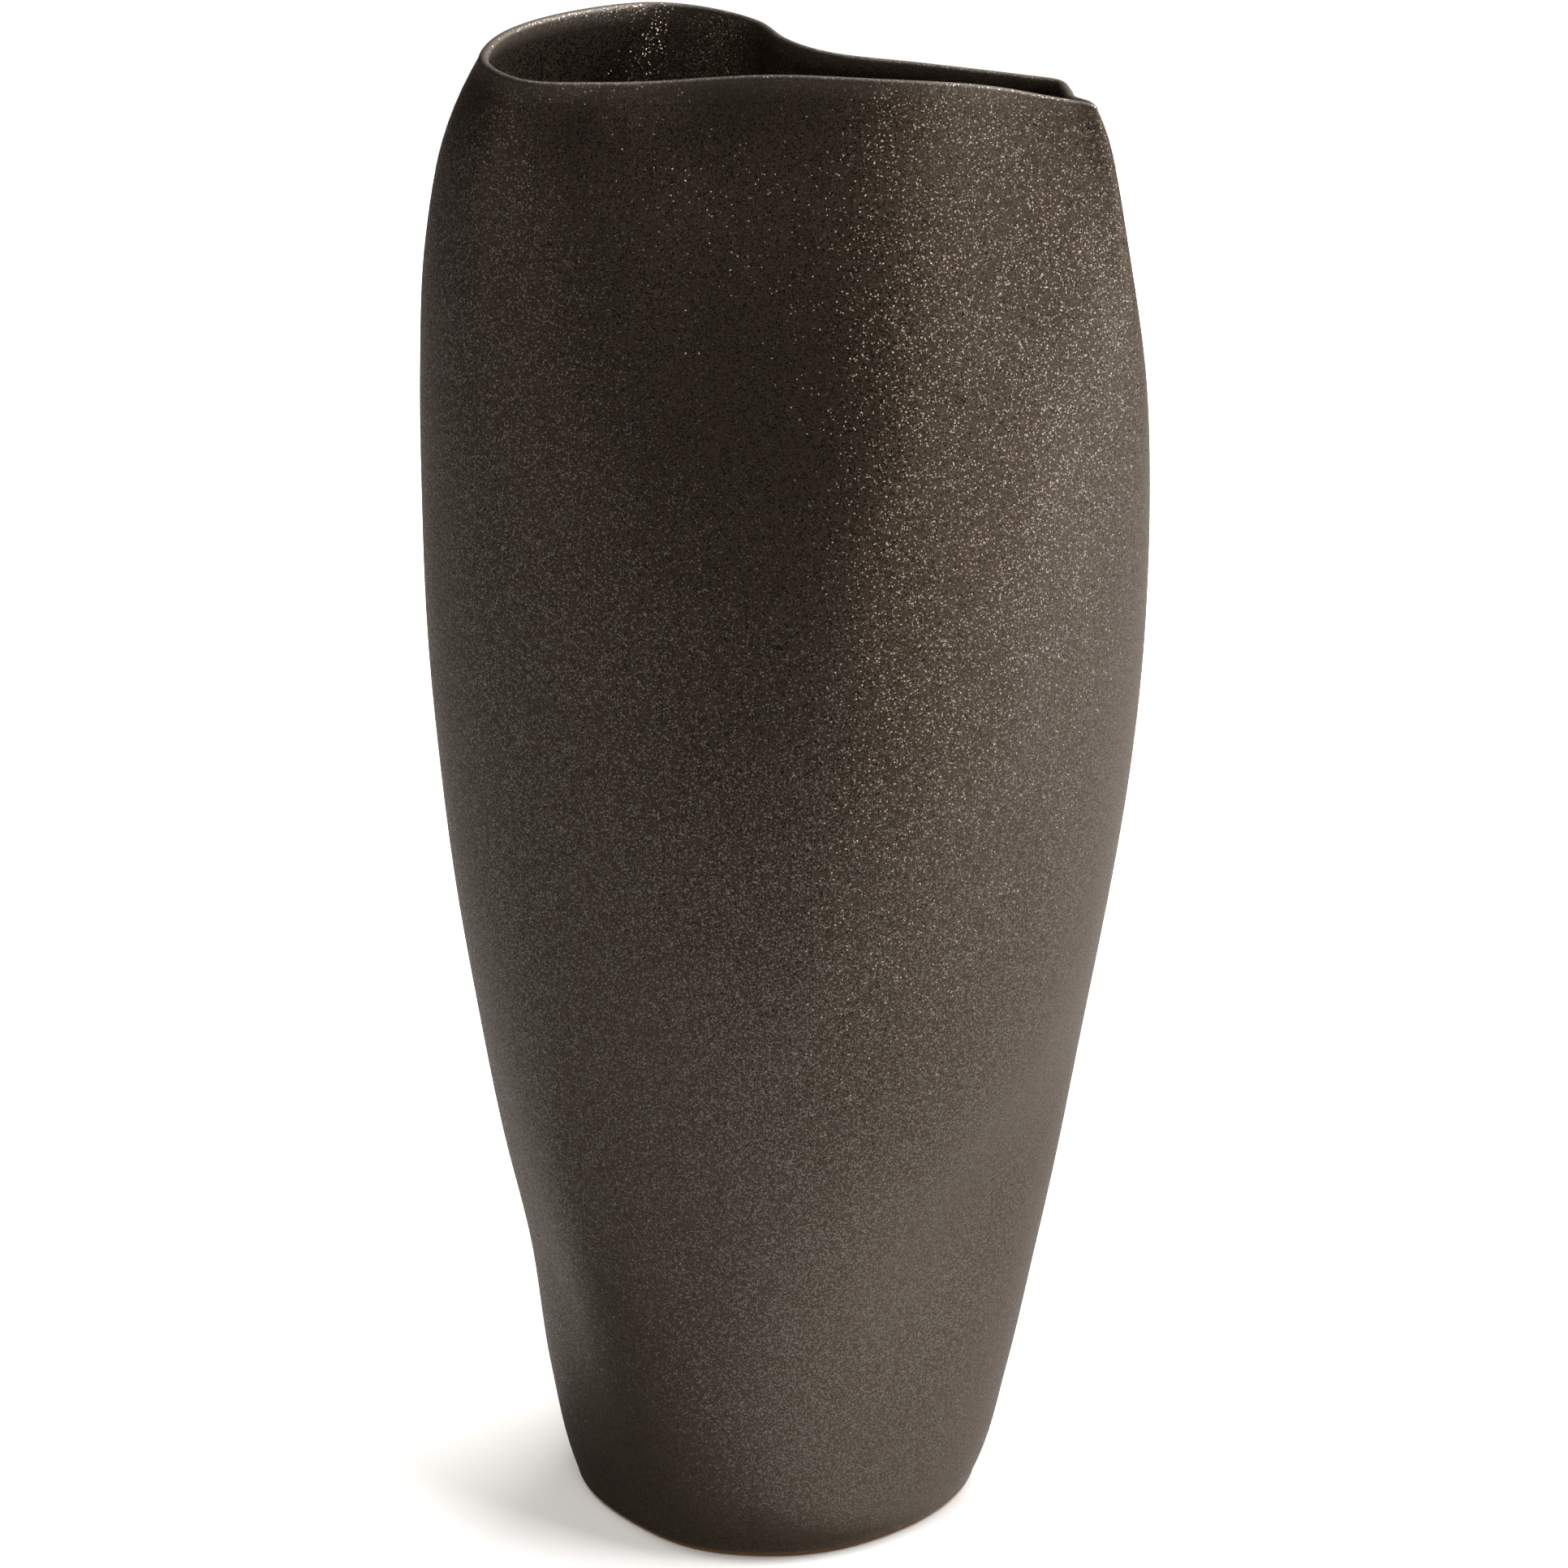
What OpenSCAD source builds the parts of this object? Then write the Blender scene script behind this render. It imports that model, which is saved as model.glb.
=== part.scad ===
// Tall free-form stoneware vase: a folded wall with a comma-shaped mouth, standing on a low foot.
// Millimetres, +Z up, front toward -Y. The origin is on the table plane under the middle of the belly.
// Angles run from +X (the pinched end, right) through +Y (the back) to -X (the round end, left).

/* [Overall] */
// Height of the lip at its tall, round end above the table
height = 457; // [380:1:550]
// Widest reach of the belly, left to right
width = 218; // [180:1:260]
// Widest reach of the belly, front to back
depth = 190; // [155:1:225]
// How much lower the lip is at the pinched end than at the round end
lip_fall = 15; // [0:1:30]

/* [Wall] */
// Wall thickness at the belly and shoulder
wall = 5; // [4:0.5:8]
// Thickness of the rounded lip
lip_thick = 3.2; // [2.4:0.2:5]
// Radius of the rounded heel under the wall
heel_radius = 2.5; // [1.5:0.5:4]
// Flat land of the wall between the heel and the foot ring
heel_land = 6; // [4:0.5:9]
// Height over which the wall thins from the foot to the belly thickness
foot_taper = 60; // [30:5:90]

/* [Foot] */
// Thickness of the clay slab that closes the bottom
floor_thick = 9; // [6:0.5:12]
// Height of the foot ring under the slab
foot_ring_height = 3.8; // [2.5:0.1:6]
// Width of the foot ring, out to in
foot_ring_width = 10; // [8:0.5:16]
// Thickness of the felt pads, the gap between the heel and the table
pad_thick = 1.2; // [0.8:0.1:3]
// Diameter of one felt pad
pad_diameter = 9; // [6:0.5:14]
// Direction of each felt pad from the middle of the foot
pad_angles = [45, 135, 225, 315];

/* [Form] */
// Belly outline by height: [height, left, right, front, back], for a vase 457 high and 218 wide
BODY = [
    [0, -64, 58.5, -54, 64],
    [12, -67.5, 63, -62, 68],
    [40, -73, 70, -70, 74],
    [80, -78.5, 78.5, -77, 86],
    [120, -87, 86.5, -82.5, 91],
    [160, -94, 93.5, -86.5, 95],
    [200, -100, 99.5, -87.5, 98],
    [240, -104.5, 104.5, -85, 99],
    [280, -107.5, 108, -82, 99],
    [320, -108.5, 109, -79, 98],
    [360, -108, 107, -73.5, 95],
    [400, -105.5, 100.5, -61, 91],
    [430, -100, 94, -45.5, 87],
    [457, -90, 85, -28.5, 83]
];
// Comma-shaped mouth, seen from above: [angle on the belly, x, y]; the notch is at 10, the pinch at 88
MOUTH = [
    [-8, 91, -5],
    [0, 90, 1],
    [10, 86, 6],
    [20, 85.5, 14],
    [31, 83, 25],
    [42, 71, 28],
    [60, 43, 33],
    [76, 17, 38],
    [88, 5, 51],
    [99, -3, 71],
    [110, -16, 82],
    [125, -37, 84],
    [145, -66, 60],
    [163, -84, 30],
    [180, -90, 0],
    [203, -79, -24],
    [230, -53, -29],
    [262, -14, -17],
    [290, 22, -8],
    [315, 58, -5],
    [338, 82, -5]
];
// Swells (+) and hollows (-): [angle, height, half angle, half height, turn per 10 mm of height, push]
PUSHES = [
    [293, 405, 20, 170, 1, 7],
    [306, 105, 24, 45, 3.5, -7.5],
    [233, 95, 19, 100, -1.5, 7.5],
    [303, 280, 15, 85, 1.5, 3.5],
    [233, 470, 33, 25, -2, -17.5],
    [282, 455, 47, 75, 3, 12.5],
    [272, 95, 27, 120, -0.5, 8],
    [301, 150, 26, 105, 3, 6.5]
];
// Waves of the lip: [angle, lift]
WAVES = [
    [205, -1.5],
    [275, 5],
    [305, 5.5],
    [332, 0.5]
];
// Half angle of one wave of the lip
wave_half = 24; // [16:1:40]
// Height at which the belly begins to turn into the mouth
fold_from = 230; // [150:5:300]
// Height at which the outline is the whole mouth
fold_to = 450; // [440:1:460]

/* [Hidden] */

// The form tables are drawn for these sizes and scaled to the asked ones
table_height = 457;
table_width = 218;
table_depth = 190;
mouth_half = 90;
sx = width / table_width;
sy = depth / table_depth;
sz = height / table_height;

// Moves the middle of the belly over the origin
shift_x = -0.3;
shift_y = -2.5;

// Columns round the vase, packed closer at the notch
columns = 92;
crowd = 25;
crowd_at = 15;
function column_angle(i) = i * 360 / columns - crowd * sin(i * 360 / columns - crowd_at);
ANGLES = [for (i = [0 : columns - 1]) column_angle(i)];

// Levels of the outer face; the rows above the floor lean with the lip
shoulder_height = 440;
heel_z = pad_thick;
ring_top = heel_z + foot_ring_height;
floor_top = ring_top + floor_thick;
level_steps = 27;
HEEL_LEVELS = [for (a = [0, 37, 64]) heel_z + heel_radius * (1 - cos(a))];
heel_top = heel_z + heel_radius;
function level(k) = floor_top + (shoulder_height * sz - floor_top) * k / level_steps;

// Smooth curve through the listed points: slope at a point from its two neighbours
function mid_slope(x0, y0, x1, y1, x2, y2) =
    ((x2 - x1) * (y1 - y0) / (x1 - x0) + (x1 - x0) * (y2 - y1) / (x2 - x1)) / (x2 - x0);
function end_slope(x0, y0, x1, y1) = (y1 - y0) / (x1 - x0);
function open_slope(t, c, i) =
    i == 0 ? end_slope(t[0][0], t[0][c], t[1][0], t[1][c]) :
    i == len(t) - 1 ? end_slope(t[i - 1][0], t[i - 1][c], t[i][0], t[i][c]) :
    mid_slope(t[i - 1][0], t[i - 1][c], t[i][0], t[i][c], t[i + 1][0], t[i + 1][c]);
function blend(y0, m0, y1, m1, h, s) =
    (2 * s * s * s - 3 * s * s + 1) * y0 + (s * s * s - 2 * s * s + s) * h * m0
    + (3 * s * s - 2 * s * s * s) * y1 + (s * s * s - s * s) * h * m1;
function span_of(t, q) = max([for (i = [0 : len(t) - 2]) if (i == 0 || t[i][0] <= q) i]);
function curve(t, m, c, q, k) =
    blend(t[k][c], m[k][c], t[k + 1][c], m[k + 1][c], t[k + 1][0] - t[k][0],
        (q - t[k][0]) / (t[k + 1][0] - t[k][0]));

// Belly outline and its slopes
BODY_SLOPES = [for (i = [0 : len(BODY) - 1]) [0, for (c = [1 : 4]) open_slope(BODY, c, i)]];

// Mouth outline closed on itself, with its slopes
function turned(row, by) = [row[0] + by, row[1], row[2]];
mouth_n = len(MOUTH);
RING = [for (i = [-1 : mouth_n + 1]) turned(MOUTH[(i + mouth_n) % mouth_n],
    i < 0 ? -360 : i >= mouth_n ? 360 : 0)];
MOUTH_TURN = [for (i = [1 : mouth_n + 1]) RING[i]];
MOUTH_SLOPES = [for (i = [1 : mouth_n + 1]) [0, for (c = [1, 2])
    mid_slope(RING[i - 1][0], RING[i - 1][c], RING[i][0], RING[i][c], RING[i + 1][0], RING[i + 1][c])]];
function wrap(a, from) = a - 360 * floor((a - from) / 360);
function mouth_at(a) =
    let (q = wrap(a, MOUTH[0][0]), k = span_of(MOUTH_TURN, q))
    [curve(MOUTH_TURN, MOUTH_SLOPES, 1, q, k), curve(MOUTH_TURN, MOUTH_SLOPES, 2, q, k)];
MOUTH_AT = [for (a = ANGLES) mouth_at(a)];

// Bell-shaped weight and the signed turn between two angles
function bell(x) = exp(-x * x);
function turn(a, b) = wrap(a - b, -180);

// Lip height round the mouth, less the round of the lip
lip_radius = lip_thick / 2;
function wave(a) = [for (w = WAVES) w[1] * bell(turn(a, w[0]) / wave_half)];
function sum(v, i = 0) = i < len(v) ? v[i] + sum(v, i + 1) : 0;
RIM_Z = [for (i = [0 : columns - 1])
    height - lip_fall / 2 * (1 + MOUTH_AT[i][0] / mouth_half) + sum(wave(ANGLES[i])) - lip_radius];

// One point of the outer face, on column i at level z; above the floor the level leans to the lip
function leaned(i, z) =
    z <= floor_top ? z : z + pow(z / (shoulder_height * sz), 4) * (RIM_Z[i] - shoulder_height * sz);
function push_at(a, z) = sum([for (p = PUSHES)
    p[5] * bell(turn(a, p[0] + p[4] * (z - p[1]) / 10) / p[2]) * bell((z - p[1]) / p[3])]);
function fold(z) = min(pow(max(z - fold_from, 0) / (fold_to - fold_from), 2), 1.05);
function on_table(i, a, z, k) =
    let (
        l = curve(BODY, BODY_SLOPES, 1, z, k),
        r = curve(BODY, BODY_SLOPES, 2, z, k),
        f = curve(BODY, BODY_SLOPES, 3, z, k),
        b = curve(BODY, BODY_SLOPES, 4, z, k),
        w = fold(z),
        half_x = (r - l) / 2,
        half_y = (b - f) / 2,
        out = [cos(a) * half_y, sin(a) * half_x] / norm([cos(a) * half_y, sin(a) * half_x]),
        m = MOUTH_AT[i]
    )
    [(r + l) / 2 + half_x * ((1 - w) * cos(a) + w * m[0] / mouth_half),
        (1 - w) * ((b + f) / 2 + half_y * sin(a)) + w * m[1]] + out * push_at(a, z);
function outer_point(i, level_z) =
    let (
        z = leaned(i, level_z),
        zt = z / sz,
        p = on_table(i, ANGLES[i], zt, span_of(BODY, zt))
    )
    [(p[0] + shift_x) * sx, (p[1] + shift_y) * sy, z];
function outer_loop(level_z) = [for (i = [0 : columns - 1]) outer_point(i, level_z)];

// Inward direction of a loop at column i, taken across its neighbours so that corners stay open
reach = 4;
function at(loop, i) = loop[(i + columns) % columns];
function inward(loop, i) =
    let (d = at(loop, i + reach) - at(loop, i - reach))
    [-d[1], d[0], 0] / norm([d[0], d[1]]);
function inset(loop, by) = [for (i = [0 : columns - 1]) loop[i] + inward(loop, i) * by];
function at_z(loop, z) = [for (p = loop) [p[0], p[1], z]];
function flat(loop) = [for (p = loop) [p[0], p[1]]];

// Loops of the outer face, from the heel to the lip
HEEL_LOOP = outer_loop(heel_z);
HEEL_TOP_LOOP = outer_loop(heel_top);
HEEL_LOOPS = [for (k = [0 : len(HEEL_LEVELS) - 1])
    inset(at_z(HEEL_TOP_LOOP, HEEL_LEVELS[k]), heel_radius * (1 - sin([0, 37, 64][k])))];
SIDE_LOOPS = [for (k = [0 : level_steps]) outer_loop(level(k))];

// The foot's inner loop, shared by the wall, the slab and the foot ring
FOOT_LOOP = at_z(inset(HEEL_LOOP, heel_radius + heel_land), heel_z);

// Loops of the inner face: the foot loop opens into the belly thickness, then thins to the lip
function ease(s) = s <= 0 ? 0 : s >= 1 ? 1 : s * s * (3 - 2 * s);
thin_from = 380;
function thickness(p, rim) =
    wall + (lip_thick - wall) * min(max((p[2] - thin_from * sz) / (rim - thin_from * sz), 0), 1);
function inner_point(loop, i, z) =
    let (
        open = ease((z - floor_top) / foot_taper),
        free = loop[i] + inward(loop, i) * thickness(loop[i], RIM_Z[i])
    )
    [FOOT_LOOP[i][0] * (1 - open) + free[0] * open,
        FOOT_LOOP[i][1] * (1 - open) + free[1] * open,
        loop[i][2]];
INNER_LOOPS = [for (k = [0 : level_steps]) [for (i = [0 : columns - 1])
    inner_point(SIDE_LOOPS[k], i, level(k))]];

// Round of the lip, from the outer loop over to the inner one
LIP_TURNS = [30, 60, 90, 120, 150];
LIP_LOOPS = [for (a = LIP_TURNS) [for (i = [0 : columns - 1])
    SIDE_LOOPS[level_steps][i] * (1 + cos(a)) / 2 + INNER_LOOPS[level_steps][i] * (1 - cos(a)) / 2
    + [0, 0, lip_radius * sin(a)]]];

// Closed skin through the loops; the last loop joins back to the first
WALL_LOOPS = [
    each HEEL_LOOPS,
    HEEL_TOP_LOOP,
    each SIDE_LOOPS,
    each LIP_LOOPS,
    for (k = [0 : level_steps]) INNER_LOOPS[level_steps - k],
    FOOT_LOOP
];
wall_rows = len(WALL_LOOPS);
function idx(r, i) = (r % wall_rows) * columns + i % columns;
WALL_POINTS = [for (loop = WALL_LOOPS) each loop];
WALL_FACES = [for (r = [0 : wall_rows - 1]) for (i = [0 : columns - 1]) for (half = [0, 1])
    half == 0 ?
    [idx(r, i), idx(r + 1, i), idx(r + 1, i + 1)] :
    [idx(r, i), idx(r + 1, i + 1), idx(r, i + 1)]];

// Felt pads sit on the middle line of the foot ring, under these columns
function nearest_column(a) =
    let (gaps = [for (b = ANGLES) abs(turn(a, b))], least = min(gaps))
    [for (i = [0 : columns - 1]) if (gaps[i] == least) i][0];
function pad_spot(k) =
    let (i = nearest_column(pad_angles[k]))
    FOOT_LOOP[i] + inward(FOOT_LOOP, i) * foot_ring_width / 2;

// Glazed stoneware wall, from the heel over the lip and down the inside
module wall_body() {
    color([0.20, 0.17, 0.14])
        polyhedron(points = WALL_POINTS, faces = WALL_FACES, convexity = 8);
}

// Clay slab that closes the bottom inside the wall
module floor_slab() {
    color([0.23, 0.20, 0.17])
        translate([0, 0, ring_top])
            linear_extrude(height = floor_thick)
                polygon(flat(FOOT_LOOP));
}

// Unglazed foot ring luted under the slab, flush with the wall's land
module foot_ring() {
    color([0.62, 0.47, 0.34])
        translate([0, 0, heel_z])
            linear_extrude(height = foot_ring_height)
                difference() {
                    polygon(flat(FOOT_LOOP));
                    polygon(flat(inset(FOOT_LOOP, foot_ring_width)));
                }
}

// One round felt pad, stuck under the foot ring
module felt_pad(k) {
    spot = pad_spot(k);
    color([0.30, 0.29, 0.28])
        translate([spot[0], spot[1], 0])
            cylinder(h = pad_thick, d = pad_diameter, $fn = 48);
}

wall_body();  // wall
floor_slab();
foot_ring();
felt_pad(0);  // felt_pad_1
felt_pad(1);  // felt_pad_2
felt_pad(2);  // felt_pad_3
felt_pad(3);  // felt_pad_4
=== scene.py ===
"""Tall free-form stoneware vase with a comma-shaped mouth.

Its pieces are a glazed wall, a glazed floor, a foot ring and four felt pads.
Metres, +Z up, front toward -Y. Angles run from +X (the pinched end) through +Y (the back)
to -X (the round end).
"""

import math

import bpy
import numpy as np
from bpy.props import FloatProperty, FloatVectorProperty, IntProperty, PointerProperty
from bpy.types import Operator, Panel, PropertyGroup
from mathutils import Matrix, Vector


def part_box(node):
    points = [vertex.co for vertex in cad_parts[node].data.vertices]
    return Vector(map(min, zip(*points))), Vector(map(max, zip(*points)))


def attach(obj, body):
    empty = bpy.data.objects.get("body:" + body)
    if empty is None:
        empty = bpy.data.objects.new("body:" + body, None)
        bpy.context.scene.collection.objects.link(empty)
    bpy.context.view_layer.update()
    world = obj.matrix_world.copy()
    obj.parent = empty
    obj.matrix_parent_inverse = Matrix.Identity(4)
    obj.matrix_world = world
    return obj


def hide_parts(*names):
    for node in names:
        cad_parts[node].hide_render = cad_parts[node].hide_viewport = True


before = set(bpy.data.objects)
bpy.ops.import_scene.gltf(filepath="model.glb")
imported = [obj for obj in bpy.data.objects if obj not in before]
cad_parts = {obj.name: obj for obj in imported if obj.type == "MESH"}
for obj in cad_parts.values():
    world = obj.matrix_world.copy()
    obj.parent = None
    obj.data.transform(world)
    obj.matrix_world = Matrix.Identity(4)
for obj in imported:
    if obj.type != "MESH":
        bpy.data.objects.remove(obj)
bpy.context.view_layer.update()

bl_info = {
    "name": "Stoneware vase",
    "version": (1, 0, 0),
    "blender": (4, 5, 0),
    "location": "View3D > Sidebar > Vase",
    "description": "Builds a tall folded stoneware vase and its stage",
    "category": "Add Mesh",
}

MM = 0.001
PADS = ["felt_pad_1", "felt_pad_2", "felt_pad_3", "felt_pad_4"]

# Heights that the frame gives
HEEL_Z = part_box("foot_ring")[0].z
RING_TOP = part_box("floor_slab")[0].z
FLOOR_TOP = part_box("floor_slab")[1].z

# The form tables are in millimetres, for a vase 457 high, 218 wide and 190 deep.
# BODY, PUSHES and WAVES are the rounded results of a numerical fit, and MOUTH was listed point by point.
TABLE_HEIGHT = 457
TABLE_WIDTH = 218
TABLE_DEPTH = 190
SHOULDER = 440
MOUTH_HALF = 90
MIDDLE = (-0.3, -2.5)
FOLD_FROM = 230
FOLD_TO = 450
THIN_FROM = 380
ROLL_DEPTH = 13

# Depth below the lip over which the glaze breaks lighter, and how far it breaks there
BREAK_DEPTH = 3.0
BREAK_SHARE = 0.5

# Coil ridges left low down inside the wall
COIL_HEIGHT = 13.0
COIL_DEPTH = 0.25
COIL_SWAY = 2.5
COIL_TOP = 300
COIL_FADE = 80

# Share of bright flakes on the inner face, set above the outer share as painted glints of the light that
# falls into the mouth
INSIDE_GLINT_FLAKE_SHARE = 0.45

# The stage, in metres
FLOOR_RADIUS = 1.6
GLOW_FROM = 0.5
GLOW_FULL = 1.3
BOUNCE_RADIUS = 9.0
BOUNCE_DROP = 0.0005

# Belly outline by height: height, left, right, front, back
BODY = np.array([
    [0, -64, 58.5, -54, 64],
    [12, -67.5, 63, -62, 68],
    [40, -73, 70, -70, 74],
    [80, -78.5, 78.5, -77, 86],
    [120, -87, 86.5, -82.5, 91],
    [160, -94, 93.5, -86.5, 95],
    [200, -100, 99.5, -87.5, 98],
    [240, -104.5, 104.5, -85, 99],
    [280, -107.5, 108, -82, 99],
    [320, -108.5, 109, -79, 98],
    [360, -108, 107, -73.5, 95],
    [400, -105.5, 100.5, -61, 91],
    [430, -100, 94, -45.5, 87],
    [457, -90, 85, -28.5, 83],
])

# Comma-shaped mouth seen from above: angle on the belly, x, y
MOUTH = np.array([
    [-8, 91, -5],
    [0, 90, 1],
    [10, 86, 6],
    [20, 85.5, 14],
    [31, 83, 25],
    [42, 71, 28],
    [60, 43, 33],
    [76, 17, 38],
    [88, 5, 51],
    [99, -3, 71],
    [110, -16, 82],
    [125, -37, 84],
    [145, -66, 60],
    [163, -84, 30],
    [180, -90, 0],
    [203, -79, -24],
    [230, -53, -29],
    [262, -14, -17],
    [290, 22, -8],
    [315, 58, -5],
    [338, 82, -5],
])

# Swells and hollows: angle, height, half angle, half height, turn per 10 mm of height, push
PUSHES = [
    (293, 405, 20, 170, 1, 7),
    (306, 105, 24, 45, 3.5, -7.5),
    (233, 95, 19, 100, -1.5, 7.5),
    (303, 280, 15, 85, 1.5, 3.5),
    (233, 470, 33, 25, -2, -17.5),
    (282, 455, 47, 75, 3, 12.5),
    (272, 95, 27, 120, -0.5, 8),
    (301, 150, 26, 105, 3, 6.5),
]

# Waves of the lip: angle, lift
WAVES = [(205, -1.5), (275, 5), (305, 5.5), (332, 0.5)]
WAVE_HALF = 24


# ---------------------------------------------------------------- sizes and colours

class VaseWallSizes(PropertyGroup):
    """Sizes of the folded wall"""

    height: FloatProperty(
        name="Height", description="Height of the lip at its tall, round end",
        default=0.457, min=0.38, max=0.55, subtype="DISTANCE", unit="LENGTH")
    width: FloatProperty(
        name="Width", description="Widest reach of the belly, left to right",
        default=0.218, min=0.18, max=0.26, subtype="DISTANCE", unit="LENGTH")
    depth: FloatProperty(
        name="Depth", description="Widest reach of the belly, front to back",
        default=0.190, min=0.155, max=0.225, subtype="DISTANCE", unit="LENGTH")
    lip_fall: FloatProperty(
        name="Lip fall", description="How much lower the lip is at the pinched end",
        default=0.015, min=0.0, max=0.03, subtype="DISTANCE", unit="LENGTH")
    wall: FloatProperty(
        name="Wall", description="Wall thickness at the belly",
        default=0.005, min=0.004, max=0.008, subtype="DISTANCE", unit="LENGTH")
    lip_thick: FloatProperty(
        name="Lip", description="Thickness of the rounded lip",
        default=0.0032, min=0.0024, max=0.005, subtype="DISTANCE", unit="LENGTH")
    heel_radius: FloatProperty(
        name="Heel radius", description="Radius of the rounded heel",
        default=0.0025, min=0.0015, max=0.004, subtype="DISTANCE", unit="LENGTH")
    heel_land: FloatProperty(
        name="Heel land", description="Flat land between the heel and the foot ring",
        default=0.006, min=0.004, max=0.009, subtype="DISTANCE", unit="LENGTH")
    foot_taper: FloatProperty(
        name="Foot taper", description="Height over which the wall thins from the foot",
        default=0.060, min=0.03, max=0.09, subtype="DISTANCE", unit="LENGTH")
    lip_roll: FloatProperty(
        name="Lip roll", description="How far the outer face leans in under the lip",
        default=0.0010, min=0.0, max=0.0030, subtype="DISTANCE", unit="LENGTH")
    hand_marks: FloatProperty(
        name="Hand marks", description="Depth of the soft unevenness left by the hand",
        default=0.00012, min=0.0, max=0.001, subtype="DISTANCE", unit="LENGTH")
    columns: IntProperty(
        name="Columns", description="Columns of faces round the wall",
        default=420, min=92, max=480)
    rows: IntProperty(
        name="Rows", description="Rows of faces up the outside of the wall",
        default=96, min=27, max=120)


class VaseFootSizes(PropertyGroup):
    """Sizes of the floor, the foot ring and the felt pads"""

    ring_width: FloatProperty(
        name="Ring width", description="Width of the foot ring, out to in",
        default=0.010, min=0.008, max=0.016, subtype="DISTANCE", unit="LENGTH")
    ring_round: FloatProperty(
        name="Ring edge", description="Radius of the sponged edges of the foot ring",
        default=0.0009, min=0.0002, max=0.0015, subtype="DISTANCE", unit="LENGTH")
    fillet: FloatProperty(
        name="Glaze fillet", description="Height of the glaze pooled where the floor meets the wall",
        default=0.0022, min=0.0005, max=0.005, subtype="DISTANCE", unit="LENGTH")
    press_marks: FloatProperty(
        name="Press marks", description="Depth of the finger marks in the floor",
        default=0.0005, min=0.0, max=0.002, subtype="DISTANCE", unit="LENGTH")


class VaseFinish(PropertyGroup):
    """Colours and surface of the glaze, the clay and the felt"""

    glaze_dark: FloatVectorProperty(
        name="Glaze, dark", description="Bronze-black glaze where it lies thick",
        default=(0.127, 0.096, 0.070), size=3, min=0.0, max=1.0, subtype="COLOR")
    glaze_warm: FloatVectorProperty(
        name="Glaze, warm", description="Brown of the glaze where it lies thinner",
        default=(0.148, 0.112, 0.082), size=3, min=0.0, max=1.0, subtype="COLOR")
    glaze_edge: FloatVectorProperty(
        name="Glaze, edge", description="Lighter brown where the glaze breaks over an edge",
        default=(0.235, 0.205, 0.175), size=3, min=0.0, max=1.0, subtype="COLOR")
    mica: FloatVectorProperty(
        name="Mica", description="Colour of the mica flakes in the glaze",
        default=(0.265, 0.245, 0.225), size=3, min=0.0, max=1.0, subtype="COLOR")
    # Paler flake colour on the inner face: painted glints of the light that falls into the mouth, not pooled
    # glaze
    mica_inside_glint: FloatVectorProperty(
        name="Mica inside", description="Colour of the flakes where the glaze pooled inside",
        default=(0.58, 0.55, 0.52), size=3, min=0.0, max=1.0, subtype="COLOR")
    flake_size: FloatProperty(
        name="Flake size", description="Width of one mica flake",
        default=0.00035, min=0.0001, max=0.002, subtype="DISTANCE", unit="LENGTH")
    flake_share: FloatProperty(
        name="Flake share", description="Share of the surface that is bright flakes",
        default=0.30, min=0.0, max=1.0, subtype="FACTOR")
    clay: FloatVectorProperty(
        name="Clay", description="Colour of the bare fired clay",
        default=(0.74, 0.46, 0.25), size=3, min=0.0, max=1.0, subtype="COLOR")
    felt: FloatVectorProperty(
        name="Felt", description="Colour of the felt pads",
        default=(0.22, 0.21, 0.20), size=3, min=0.0, max=1.0, subtype="COLOR")


class VaseStageLook(PropertyGroup):
    """Floor, lights and camera"""

    floor_tone: FloatProperty(
        name="Floor", description="How pale the floor is",
        default=0.9, min=0.1, max=1.0, subtype="FACTOR")
    bounce_tone: FloatProperty(
        name="Bounce", description="How much of the softboxes' light the floor throws back at the vase",
        default=0.66, min=0.0, max=1.0, subtype="FACTOR")
    floor_glow: FloatProperty(
        name="Floor glow", description="How bright the vase sees the floor",
        default=0.058, min=0.0, max=2.0)
    sky: FloatProperty(
        name="Sky", description="Brightness of the room's soft light",
        default=0.02, min=0.0, max=3.0)
    lens: FloatProperty(
        name="Lens", description="Focal length of the camera",
        default=156.8, min=35.0, max=300.0, subtype="DISTANCE_CAMERA")
    distance: FloatProperty(
        name="Distance", description="Distance from the camera to the vase",
        default=2.07, min=0.5, max=6.0, subtype="DISTANCE", unit="LENGTH")
    elevation: FloatProperty(
        name="Elevation", description="Angle by which the camera looks down",
        default=math.radians(20.0), min=0.0, max=1.5, subtype="ANGLE", unit="ROTATION")
    aim_height: FloatProperty(
        name="Aim height", description="Height on the vase's axis that the camera looks at",
        default=0.230, min=0.0, max=0.6, subtype="DISTANCE", unit="LENGTH")


# ---------------------------------------------------------------- the form of the vase

def slopes(x, y):
    """Slope at each point, from its neighbours."""
    step = np.diff(x)
    rise = np.diff(y) / step
    inner = (step[1:] * rise[:-1] + step[:-1] * rise[1:]) / (step[1:] + step[:-1])
    return np.concatenate([rise[:1], inner, rise[-1:]])


def smooth_curve(x, y, m, q):
    """Value at q of the smooth curve through the points x, y with slopes m."""
    k = np.clip(np.searchsorted(x, q, side="right") - 1, 0, len(x) - 2)
    h = x[k + 1] - x[k]
    s = (q - x[k]) / h
    return (
        (2 * s**3 - 3 * s**2 + 1) * y[k] + (s**3 - 2 * s**2 + s) * h * m[k]
        + (3 * s**2 - 2 * s**3) * y[k + 1] + (s**3 - s**2) * h * m[k + 1]
    )


def wrap(angle, start):
    """Angle brought into the turn that begins at start, in degrees."""
    return angle - 360 * np.floor((angle - start) / 360)


def turn(a, b):
    """Signed angle from b to a, in degrees."""
    return wrap(a - b, -180)


def bell(x):
    """Bell-shaped weight, 1 in the middle."""
    return np.exp(-x * x)


def ease(s):
    """Smooth step from 0 to 1."""
    s = np.clip(s, 0, 1)
    return s * s * (3 - 2 * s)


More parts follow.
